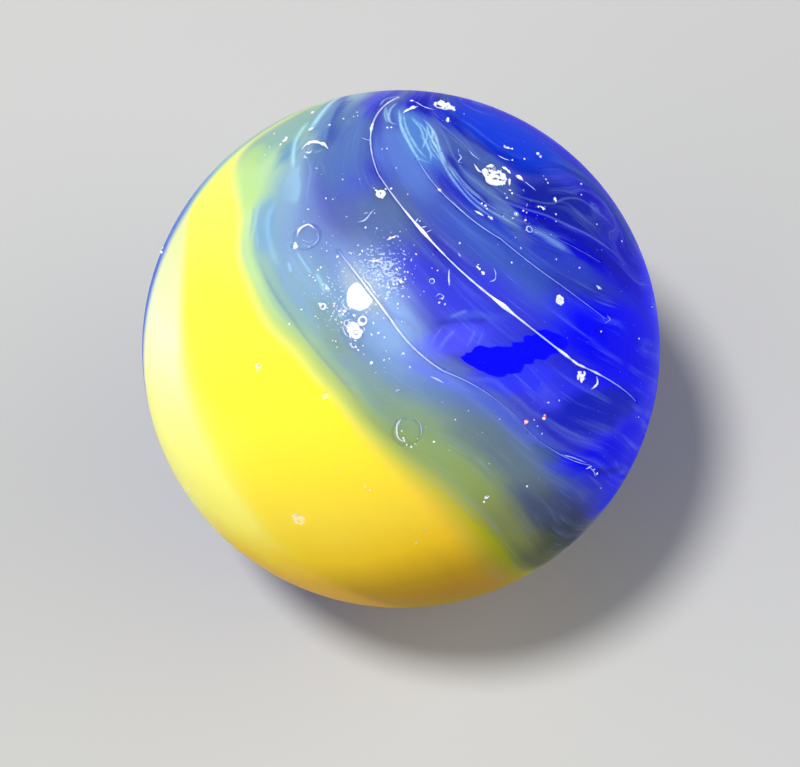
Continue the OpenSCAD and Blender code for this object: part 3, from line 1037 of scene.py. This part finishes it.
# Single grains, as (lean, clock, size in mm).
FLAKES = [
    # Round the top.
    (68.5, 120.5, 0.09), (60.5, 125, 0.08), (48.5, 125.5, 0.09), (62.5, 123, 0.09), (60.5, 104, 0.09),
    (62.5, 100.5, 0.09), (60.5, 101.5, 0.11), (60.5, 100.5, 0.09), (53.5, 92.5, 0.16), (53.5, 93.5, 0.13),
    (46, 94, 0.13), (40, 91.5, 0.09), (58.5, 78.5, 0.3), (64, 75, 0.06), (33, 87.5, 0.08),
    (28.5, 87.5, 0.09), (34.5, 93.5, 0.13), (34.5, 95.5, 0.16), (34, 98.5, 0.19), (32.5, 97, 0.22),
    (34, 96.5, 0.19), (34.5, 99, 0.13),
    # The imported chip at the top.
    (67, 82, 0.3), (68, 81, 0.32), (67.5, 80.5, 0.36), (67, 79.5, 0.36), (66, 78.5, 0.32), (65, 77.5, 0.28),
    (68, 79, 0.3), (65.5, 80, 0.28),
    # Beside the big bruise and to the right.
    (56, 62, 0.19), (56, 63, 0.13), (56.5, 61, 0.13), (52.5, 59.5, 0.13), (55.5, 57, 0.13), (61, 55, 0.28),
    (60.5, 54, 0.2), (64.5, 42.5, 0.16), (60.5, 40.5, 0.09), (48.5, 55.5, 0.19), (41, 55, 0.11),
    (43, 54.5, 0.09), (45, 46, 0.13), (45.5, 44.5, 0.16), (47.5, 41, 0.11), (46, 39.5, 0.09),
    (39, 49.5, 0.16), (36, 59.5, 0.19), (36, 61, 0.13), (35.5, 58.5, 0.13), (34, 55.5, 0.19),
    (34, 56.5, 0.13), (58, 32.5, 0.11), (65.5, 26, 0.11), (29.5, 38, 0.11), (44.5, 24.5, 0.13),
    (48, 17, 0.14), (23, 45.5, 0.14), (23.5, 47.5, 0.09), (73, 9.5, 0.11), (46, 5, 0.13), (61, 2.5, 0.13),
    (36, 17, 0.19), (36.5, 16, 0.16), (35.5, 16, 0.13),
    # Round the highlight.
    (23, 124.5, 0.14), (16, 139, 0.11), (16, 93, 0.16), (15.5, 99, 0.11), (13.5, 90, 0.22),
    (14, 86.5, 0.16), (13, 93.5, 0.16), (12.5, 101, 0.13), (13, 96.5, 0.11), (10.5, 88, 0.11),
    (10.5, 81.5, 0.13), (9, 94, 0.13), (23, 112.5, 0.16), (19.5, 112, 0.13), (18.5, 107.5, 0.16),
    (18.5, 105, 0.14), (18, 103, 0.13), (23, 95.5, 0.16), (23, 93.5, 0.13), (23, 91.5, 0.13),
    (1, -63.5, 0.16), (6.5, 154, 0.14), (5.5, 145, 0.11), (13, 156, 0.13), (13.5, 146, 0.19),
    (13, 141, 0.19), (11.5, 144.5, 0.16), (13.5, 149, 0.13), (18.5, 151.5, 0.16), (17.5, 152, 0.16),
    (19, 151, 0.13), (17.5, 150, 0.09), (10, 174.5, 0.16), (9, 177.5, 0.19), (8.5, -178.5, 0.13),
    (10.5, 166, 0.13), (11.5, 165, 0.13),
    # Below the pocket and by the seam.
    (39.5, -7.5, 0.16), (40.5, -8.5, 0.19), (41, -9.5, 0.16), (40, -7.5, 0.13), (33.5, -20, 0.13),
    (35.5, -31, 0.13), (20, -70.5, 0.14), (25, -35.5, 0.09), (30.5, -52.5, 0.09), (41.5, -47.5, 0.11),
    (37.5, -60, 0.14), (38, -61.5, 0.13), (18.5, -42.5, 0.08), (56, -32, 0.13), (58, -32.5, 0.13),
    (23.5, 167.5, 0.13), (61.5, 119.5, 0.22), (62, 118.5, 0.19), (60.5, 120.5, 0.16), (80, 157, 0.19),
    (77.5, 158, 0.19),
    # The crumbs of the low ring crack.
    (18, -88.5, 0.13), (18.5, -88, 0.16), (19.5, -86.5, 0.19), (20, -84, 0.16), (19.5, -81.5, 0.13),
    (16.5, -89.5, 0.09), (18.5, -79.5, 0.09),
]
LINT = [
    # Lint on the blue.
    (36.5, 116.5, 0.11), (35.5, 114.5, 0.09), (50.5, 110, 0.13), (45.5, 115, 0.13), (39.5, 109, 0.08),
    (51, 116.5, 0.13), (27.5, 121, 0.13), (27, 125, 0.08), (29, 101, 0.09), (19.5, 81, 0.11),
    (18, 83.5, 0.13), (15.5, 85, 0.13), (15.5, 87.5, 0.09), (10.5, 106.5, 0.13), (10, 128.5, 0.16),
    (8.5, 123.5, 0.16), (10, 133.5, 0.13), (7, 119.5, 0.13), (7.5, 137, 0.13), (11, 103.5, 0.09),
    (23.5, 134.5, 0.16), (23.5, 136.5, 0.13), (19.5, 145, 0.13), (22.5, 141.5, 0.11), (19.5, 141, 0.13),
    (16, 147.5, 0.16), (14.5, 148.5, 0.16), (22, 117.5, 0.13), (21.5, 111.5, 0.16), (21.5, 108.5, 0.11),
    (21, 106, 0.09), (21, 113.5, 0.13), (6.5, -155, 0.19), (4, -147, 0.13), (3, -140.5, 0.11),
    (3, -173, 0.09), (13, 50.5, 0.13), (12, 50.5, 0.16), (12.5, 45.5, 0.13), (17.5, 69, 0.09),
    (17.5, 65, 0.09), (25, 61, 0.09), (39.5, 30, 0.09), (54, 49.5, 0.16), (53.5, 48.5, 0.13),
    (54.5, 50.5, 0.09), (41, 48.5, 0.16), (39.5, 46, 0.16), (37.5, 49.5, 0.14), (36, -18, 0.13),
    (33.5, -29.5, 0.09), (66.5, -16, 0.09), (23, -64.5, 0.09), (13.5, -52, 0.08), (18, -52.5, 0.08),
    (30.5, -173.5, 0.26), (30.5, -171.5, 0.24), (73, -146.5, 0.13), (48.5, -170.5, 0.09),
    (30, -104.5, 0.16), (30.5, -102.5, 0.13), (28.5, -117, 0.09), (40, -82.5, 0.09), (44, -85.5, 0.09),
]
# Small orange-red grains of unknown kind.
WARM_SPECKS = [
    (30.5, -30, 0.26), (30.5, -31, 0.16), (32, -28, 0.17), (34, -26, 0.22), (34, -25, 0.14),
]
# Bubbles that broke open at the skin, with a white rim: lean, clock, and the rim's size and width in mm.
BROKEN_BUBBLES = [
    (9.5, 160.5, 0.25, 0.11), (9.5, 143.5, 0.22, 0.07), (15, 65.5, 0.14, 0.04), (38.5, 43, 0.19, 0.04),
    (36, 16.5, 0.13, 0.06), (18, 151.5, 0.16, 0.06), (12, 154.5, 0.16, 0.04), (33.5, 97.5, 0.19, 0.11),
    (39, 49.5, 0.13, 0.03),
]


def node_group(name, sockets):
    """A Geometry Nodes tree with its named inputs. Gives back the tree and its group input's outputs."""
    tree = bpy.data.node_groups.new(name, "GeometryNodeTree")
    tree.interface.new_socket("Geometry", in_out="OUTPUT", socket_type="NodeSocketGeometry")
    for socket_name, kind in (("Geometry", "Geometry"), *sockets, ("Material", "Material")):
        tree.interface.new_socket(socket_name, in_out="INPUT", socket_type=f"NodeSocket{kind}")
    return tree, tree.nodes.new("NodeGroupInput").outputs


def finish_tree(tree, geometry, material):
    """Ends a tree with real faces that carry the material."""
    geometry = add(tree, "GeometryNodeRealizeInstances", [geometry])
    geometry = add(tree, "GeometryNodeSetMaterial", {"Geometry": geometry, "Material": material})
    add(tree, "NodeGroupOutput", [geometry])
    return tree


def thread_tree():
    """Threads along the edges of a mesh, as thick as its `thickness`, with knots and thin places."""
    tree, inputs = node_group("thread", [
        ("Spacing", "Float"), ("Knots per metre", "Float"), ("Unevenness", "Float"),
    ])
    curve = add(tree, "GeometryNodeMeshToCurve", {"Mesh": inputs["Geometry"]})
    curve = add(tree, "GeometryNodeResampleCurve", {
        "Curve": curve, "Length": inputs["Spacing"],
    }, mode="LENGTH")
    knots = add(tree, "ShaderNodeTexNoise", {
        "Vector": add(tree, "GeometryNodeInputPosition"),
        "Scale": inputs["Knots per metre"],
        "Detail": 3.0,
    })
    knots = add(tree, "ShaderNodeMapRange", [knots, *NOISE_RANGE, -1.0, 1.0])
    share = add(tree, "ShaderNodeMath", [knots, inputs["Unevenness"], 1.0], operation="MULTIPLY_ADD")
    share = add(tree, "ShaderNodeMath", [share, THINNEST], operation="MAXIMUM")
    thickness = add(tree, "GeometryNodeInputNamedAttribute", {"Name": "thickness"}, data_type="FLOAT")
    thickness = add(tree, "ShaderNodeMath", [thickness, share], operation="MULTIPLY")
    ring = add(tree, "GeometryNodeCurvePrimitiveCircle", {
        "Resolution": THREAD_SIDES, "Radius": 0.5,
    })
    mesh = add(tree, "GeometryNodeCurveToMesh", {
        "Curve": curve, "Profile Curve": ring, "Scale": thickness, "Fill Caps": True,
    })
    return finish_tree(tree, mesh, inputs["Material"])


def grit_tree(on_faces):
    """Small broken shards, scattered on faces by their `density`, or one on each loose point."""
    tree, inputs = node_group("grit", [("Seed", "Int")])
    seed = inputs["Seed"]
    if on_faces:
        density = add(tree, "GeometryNodeInputNamedAttribute", {"Name": "density"}, data_type="FLOAT")
        points = add(tree, "GeometryNodeDistributePointsOnFaces", {
            "Mesh": inputs["Geometry"], "Density": density, "Seed": seed,
        })
    else:
        points = add(tree, "GeometryNodeMeshToPoints", {"Mesh": inputs["Geometry"]})
    shard = add(tree, "GeometryNodeMeshIcoSphere", {"Radius": 0.5, "Subdivisions": 1})
    # Scattered grit is mostly fine, with few large grains. Grains set one by one keep near their size.
    smallest = 0.25 if on_faces else 0.8
    turn, shape, share = [
        add(tree, "FunctionNodeRandomValue", {"Min": low, "Max": high, "Seed": seed}, data_type=kind)
        for low, high, kind in (
            ((0.0, 0.0, 0.0), (math.tau, math.tau, math.tau), "FLOAT_VECTOR"),
            (SMALL_SHARD, LARGE_SHARD, "FLOAT_VECTOR"),
            (smallest, 1.0, "FLOAT"),
        )
    ]
    share = add(tree, "ShaderNodeMath", [share, 2.0], operation="POWER")
    size = add(tree, "GeometryNodeInputNamedAttribute", {"Name": "size"}, data_type="FLOAT")
    size = add(tree, "ShaderNodeMath", [size, share], operation="MULTIPLY")
    scale = add(tree, "ShaderNodeVectorMath", {0: shape, 3: size}, operation="SCALE")
    shards = add(tree, "GeometryNodeInstanceOnPoints", {
        "Points": points, "Instance": shard, "Rotation": turn, "Scale": scale,
    })
    return finish_tree(tree, shards, inputs["Material"])


def grow(piece, tree, **values):
    """Runs a tree on a piece, keeps the result as a plain mesh, and makes it ride on the ball."""
    modifier = piece.modifiers.new(tree.name, "NODES")
    modifier.node_group = tree
    for item in tree.interface.items_tree:
        key = item.name.replace(" ", "_").lower()
        if item.in_out == "INPUT" and key in values:
            modifier[item.identifier] = values[key]
    evaluated = piece.evaluated_get(bpy.context.evaluated_depsgraph_get())
    mesh = bpy.data.meshes.new_from_object(evaluated)
    piece.modifiers.clear()
    piece.data = mesh
    mesh.name = piece.name
    dress(piece)


def grow_threads(name, lines, material, lift, unevenness):
    """Threads along lines of directions, lifted off the true ball by so many mm.

    A thread's widths are pairs: share of the way along, and mm across.
    """
    points, edges, widths_at = [], [], []
    for line, widths in lines:
        edges += [(len(points) + i, len(points) + i + 1) for i in range(len(line) - 1)]
        points += [d * (BALL_R + lift) * MM for d in line]
        widths_at += list(np.interp(np.arange(len(line)) / (len(line) - 1), *zip(*widths)))
    piece = mesh_object(name, points, edges)
    widths_at = np.array(widths_at)
    set_attribute(piece, "thickness", widths_at * MM)
    set_attribute(piece, "thinness", np.clip(0.5 + (1 - widths_at / THIN_CRUST), 0, 1))
    grow(piece, thread_tree(), spacing=THREAD_STEP * MM, knots_per_metre=KNOTS_PER_METRE,
         unevenness=unevenness, material=material)


def grow_grit(piece, material, size, density=None):
    """Grains up to so many mm across, so many per mm2 on a piece's faces, or one on each of its points."""
    if density is not None:
        set_attribute(piece, "density", density / MM ** 2)
    set_attribute(piece, "size", size * MM)
    grow(piece, grit_tree(density is not None), seed=SEED, material=material)


def ring_round(out, count):
    """Directions square to one, all the way round it."""
    x_axis = out.orthogonal().normalized()
    y_axis = out.cross(x_axis)
    turns = [math.tau * i / count for i in range(count)]
    return [x_axis * math.cos(t) + y_axis * math.sin(t) for t in turns]


def make_crease_crust(material):
    """The white crust in the creases, with its knots."""
    lines = [(crease_line(places), widths) for places, widths in zip(CREASES, CREASE_CRUSTS)]
    grow_threads("crease_crust", lines, material, lift=-0.01, unevenness=0.25)


def make_scratches(material):
    """Scratches and strokes of crushed glass, which thin towards both ends."""
    lines = [
        (smooth_line(places, FOLD_STEP), [(place, share * w) for place, share in STROKE_WIDTHS])
        for places, w in SCRATCHES
    ]
    grow_threads("scratches", lines, material, lift=-0.005, unevenness=0.7)


def make_bubble_rims(material):
    """White broken rims round the small open bubbles."""
    lines = []
    for lean, clock, size, width in BROKEN_BUBBLES:
        out = direction(lean, clock)
        sides = ring_round(out, RIM_SIDES)
        line = [(out + side * size / 2 / BALL_R).normalized() for side in sides + sides[:1]]
        lines.append((line, [(0, width), (1, width)]))
    grow_threads("bubble_rims", lines, material, lift=-0.01, unevenness=0.6)


def make_bruise_crumbs(material):
    """Crumbs of crushed glass on the floors of the bruises, but for the last, which the yellow hides."""
    rings, spokes = FLOOR_RINGS, RIM_SIDES
    points, faces = [], []
    for lean, clock, share in BRUISES[:-1]:
        out = direction(lean, clock)
        first = len(points)
        for ring in range(1, rings + 1):
            away = BRUISE_W * share / 2 * ring / rings
            sunk = BRUISE_DEPTH * share * (1 - (ring / rings) ** 2)
            points += [(out * BALL_R + side * away).normalized() * (BALL_R - sunk) * MM
                       for side in ring_round(out, spokes)]
        for corner in range((rings - 1) * spokes):
            after = corner // spokes * spokes + (corner + 1) % spokes
            quad = (corner, after, after + spokes, corner + spokes)
            faces.append([first + c for c in quad])
    grow_grit(mesh_object("bruise_crumbs", points, faces=faces), material, CRUMB_SIZE, CRUMBS)


def make_dust_and_glint_grains(material):
    """Dust on the upper skin, heaped round the highlight, where the grains also stand as painted glints of
    fine scratches.
    """
    mesh = bmesh.new()
    bmesh.ops.create_icosphere(mesh, subdivisions=5, radius=BALL_R * MM)
    piece = object_of("dust", mesh)
    directions = np.array([v.co.normalized() for v in piece.data.vertices])
    grow_grit(piece, material, DUST_SIZE, dust_and_glint_density_at(directions) + STRAY_DUST)


def make_specks(name, specks, material):
    """Single grains, each at its own place."""
    piece = mesh_object(name, [direction(lean, clock) * BALL_R * MM for lean, clock, _ in specks])
    grow_grit(piece, material, np.array([size for _, _, size in specks]))


# ---- camera, lamps and floor

CAMERA_DISTANCE = 71.2
FOCAL_PX = 2290
FRAME_W, FRAME_H = 800, 767
# Where the ball's middle lies in the frame, in pixels from its top left.
BALL_AT = (401, 349)
SENSOR_W = 36
# Half the width of the floor, in metres.
FLOOR = 2.0
# How strong the room is as light, and as what the camera and the gloss see.
ROOM_LIGHT = 0.2
BACKDROP_LIGHT = 0.75


def set_camera():
    """The camera looks straight along the show face's axis."""
    data = bpy.data.cameras.new("camera")
    data.sensor_width = SENSOR_W
    data.lens = FOCAL_PX / FRAME_W * SENSOR_W
    data.shift_x = (FRAME_W / 2 - BALL_AT[0]) / FRAME_W
    data.shift_y = (BALL_AT[1] - FRAME_H / 2) / FRAME_W
    data.clip_start = MM
    camera = bpy.data.objects.new("camera", data)
    bpy.context.scene.collection.objects.link(camera)
    axes = Matrix((FACE_RIGHT, FACE_UP, FACE_AXIS)).transposed().to_4x4()
    camera.matrix_world = Matrix.Translation(FACE_AXIS * CAMERA_DISTANCE * MM) @ axes
    bpy.context.scene.camera = camera


def add_lamp(name, azimuth, zenith, distance, size, power, mirrored=False):
    """A round soft lamp that looks at the ball. Lengths are in mm, and the power is in watts.

    Only a mirrored lamp shows as a highlight in the gloss.
    """
    azimuth, zenith = math.radians(azimuth), math.radians(zenith)
    level = Vector((math.cos(azimuth), math.sin(azimuth), 0))
    towards = level * math.sin(zenith) + Vector((0, 0, math.cos(zenith)))
    data = bpy.data.lights.new(name, "AREA")
    data.shape = "DISK"
    data.size = size * MM
    data.energy = power
    lamp = bpy.data.objects.new(name, data)
    bpy.context.scene.collection.objects.link(lamp)
    lamp.visible_camera = False
    lamp.visible_glossy = mirrored
    lamp.location = towards * distance * MM
    lamp.rotation_euler = towards.to_track_quat("Z", "Y").to_euler()


def add_floor():
    """A plain pale sheet of matt paper under the ball."""
    corners = [(-FLOOR, -FLOOR), (FLOOR, -FLOOR), (FLOOR, FLOOR), (-FLOOR, FLOOR)]
    floor = mesh_object("floor", [(x, y, LOW.z) for x, y in corners], faces=[(0, 1, 2, 3)])
    material, tree = new_material("matt_grey_paper")
    finish_material(tree, {"Base Color": "#b6b6b4", "Roughness": 0.9})
    floor.data.materials.append(material)


def set_world():
    """A dim soft room, which the camera and the gloss see as a pale backdrop."""
    world = bpy.data.worlds.new("studio")
    world.use_nodes = True
    tree = world.node_tree
    tree.nodes.clear()
    rays = add(tree, "ShaderNodeLightPath").node.outputs
    mirrored = [rays["Is Glossy Ray"], rays["Is Transmission Ray"]]
    mirrored = add(tree, "ShaderNodeMath", mirrored, operation="MAXIMUM")
    seen = add(tree, "ShaderNodeMath", [rays["Is Camera Ray"], mirrored], operation="MAXIMUM")
    strength = add(tree, "ShaderNodeMapRange", [seen, 0.0, 1.0, ROOM_LIGHT, BACKDROP_LIGHT])
    background = add(tree, "ShaderNodeBackground", ["#c8ccd2", strength])
    add(tree, "ShaderNodeOutputWorld", [background])
    bpy.context.scene.world = world


def make_marble():
    """The ball with everything on its skin."""
    ball = make_ball()
    ball.data.materials.append(glass_material())
    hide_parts("marble")
    dress(ball)
    crushed = crushed_glass_material()
    make_crease_crust(crushed)
    make_scratches(crushed)
    make_bruise_crumbs(crushed)
    dust = dust_material()
    make_dust_and_glint_grains(dust)
    make_specks("glass_flakes", FLAKES, crushed)
    make_specks("lint", LINT, dust)
    make_bubble_rims(crushed)
    make_specks("brick_grains", WARM_SPECKS, warm_grit_material())


make_marble()
set_camera()
add_lamp("key", azimuth=-173, zenith=17, distance=260, size=52, power=0.68, mirrored=True)
add_lamp("left_fill", azimuth=200, zenith=68, distance=700, size=1100, power=2.9)
add_lamp("right_fill", azimuth=8, zenith=72, distance=700, size=1100, power=5.4)
add_floor()
set_world()
bpy.context.scene.view_settings.view_transform = "Standard"
